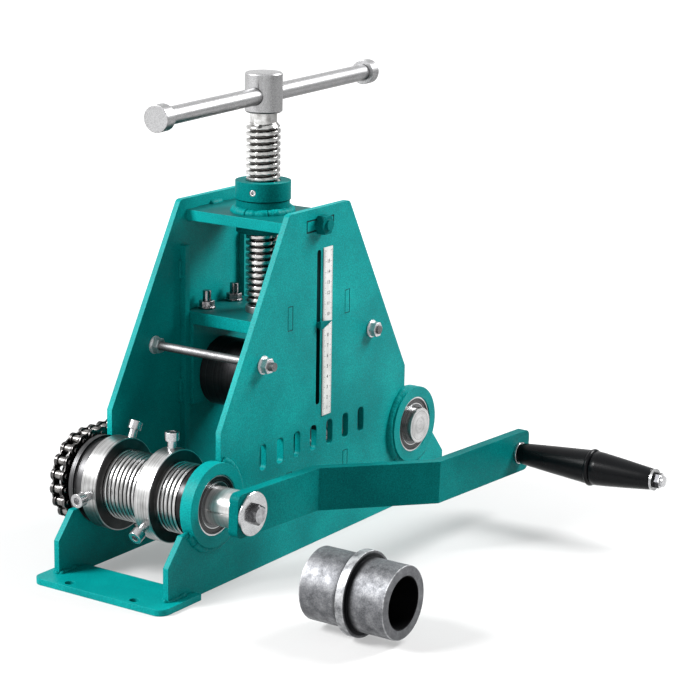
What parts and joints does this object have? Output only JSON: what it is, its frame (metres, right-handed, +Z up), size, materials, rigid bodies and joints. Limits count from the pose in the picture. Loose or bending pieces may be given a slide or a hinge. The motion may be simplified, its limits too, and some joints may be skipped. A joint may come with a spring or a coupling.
{
  "type": "profile bending machine",
  "caption": "Hand-cranked three-roller bender: chain-driven lower rollers with guide collars, and a centre roller pressed down by a screw between two trapezoid side plates.",
  "frame": {"origin": "centre of the four base holes, on the underside of the base plates", "axes": "+X from the front shaft with the crank to the rear shaft, +Y from the crank side to the chain side, +Z up"},
  "size_m": [0.49, 0.4222, 0.4395],
  "materials": {
    "teal_paint": "satin",
    "bright_steel": "machined",
    "dark_steel": "oiled, dark",
    "zinc_dark": "dark zinc",
    "black_plastic": "gloss",
    "white_scale": "printed scale",
    "oiled_steel": "mottled grey"
  },
  "bodies": {
    "frame": {"side_plate_near": "teal_paint", "side_plate_far": "teal_paint", "base_plate_front": "teal_paint", "base_plate_rear": "teal_paint", "top_plate": "teal_paint", "lift_nut": "teal_paint", "nut_ring": "teal_paint", "nut_ring_screw": "bright_steel", "top_stud_nuts": "teal_paint", "guide_strips": "teal_paint", "tie_rods": "bright_steel", "tie_rod_nuts": "bright_steel", "ruler": "white_scale", "ring_near_front": "teal_paint", "ring_near_rear": "teal_paint", "housing_far_front": "dark_steel", "housing_far_rear": "dark_steel", "bearings_near": "bright_steel", "bearings_far": "bright_steel", "chain_upper_run": "dark_steel", "chain_lower_run": "dark_steel", "chain_front_wrap": "dark_steel", "chain_rear_wrap": "dark_steel"},
    "front_shaft_set": {"front_shaft": "bright_steel", "front_sleeve": "bright_steel", "front_sprocket": "dark_steel", "crank_arm": "teal_paint", "crank_bolt": "bright_steel", "handle_spindle": "bright_steel", "handle_ferrule": "bright_steel"},
    "grip": {"handle_grip": "black_plastic"},
    "front_inner_collar": {"front_collar_inner": "bright_steel", "front_collar_inner_screws": "bright_steel"},
    "front_outer_collar": {"front_collar_outer": "bright_steel", "front_collar_outer_screws": "bright_steel"},
    "rear_shaft_set": {"rear_shaft": "bright_steel", "rear_sleeve": "bright_steel", "rear_sprocket": "dark_steel"},
    "rear_inner_collar": {"rear_collar_inner": "bright_steel", "rear_collar_inner_screws": "bright_steel"},
    "rear_outer_collar": {"rear_collar_outer": "bright_steel", "rear_collar_outer_screws": "bright_steel"},
    "carriage": {"carriage_top": "teal_paint", "carriage_cheek_near": "teal_paint", "carriage_cheek_far": "teal_paint", "carriage_studs": "zinc_dark", "carriage_nuts": "zinc_dark", "pointer": "teal_paint", "roller_axle": "bright_steel", "thrust_bush": "bright_steel"},
    "centre_roller": {"centre_roller": "dark_steel"},
    "screw": {"lift_screw": "bright_steel", "screw_hub": "bright_steel", "screw_keeper": "bright_steel"},
    "bar": {"turning_bar": "bright_steel", "bar_caps": "bright_steel"},
    "spare": {"spare_roller": "oiled_steel"}
  },
  "joints": [
    {"name": "front_shaft_turn", "type": "hinge", "parent": "frame", "child": "front_shaft_set", "pos_m": [-0.16193, 0, 0.0792], "axis": [0, 1, 0], "continuous": true},
    {"name": "handle_spin", "type": "hinge", "parent": "front_shaft_set", "child": "grip", "pos_m": [0.18225, -0.25, 0.06417], "axis": [0, 1, 0], "continuous": true},
    {"name": "front_inner_collar_slide", "type": "slide", "parent": "front_shaft_set", "child": "front_inner_collar", "axis": [0, 1, 0], "range_m": [-0.018, 0.018]},
    {"name": "front_outer_collar_slide", "type": "slide", "parent": "front_shaft_set", "child": "front_outer_collar", "axis": [0, 1, 0], "range_m": [-0.018, 0]},
    {"name": "rear_shaft_turn", "type": "hinge", "parent": "frame", "child": "rear_shaft_set", "pos_m": [0.16193, 0, 0.0792], "axis": [0, 1, 0], "continuous": true},
    {"name": "rear_inner_collar_slide", "type": "slide", "parent": "rear_shaft_set", "child": "rear_inner_collar", "axis": [0, 1, 0], "range_m": [-0.018, 0.018]},
    {"name": "rear_outer_collar_slide", "type": "slide", "parent": "rear_shaft_set", "child": "rear_outer_collar", "axis": [0, 1, 0], "range_m": [-0.018, 0]},
    {"name": "carriage_slide", "type": "slide", "parent": "frame", "child": "carriage", "axis": [0, 0, 1], "range_m": [-0.06, 0.062]},
    {"name": "centre_roller_spin", "type": "hinge", "parent": "carriage", "child": "centre_roller", "pos_m": [0, 0, 0.1502], "axis": [0, 1, 0], "continuous": true},
    {"name": "screw_turn", "type": "hinge", "parent": "carriage", "child": "screw", "pos_m": [0, 0, 0.35], "axis": [0, 0, 1], "range_deg": [-3590, 3710]},
    {"name": "bar_slide", "type": "slide", "parent": "screw", "child": "bar", "axis": [0.9936, 0.1132, 0], "range_m": [-0.178, 0.152]},
    {"name": "spare_roller_lift", "type": "slide", "parent": "frame", "child": "spare", "axis": [0, 0, 1], "range_m": [0, 0.15]}
  ],
  "couplings": [
    {"joint": "rear_shaft_turn", "follows": "front_shaft_turn", "ratio": 1},
    {"joint": "carriage_slide", "follows": "screw_turn", "m_per_rad": 0.00095493}
  ]
}
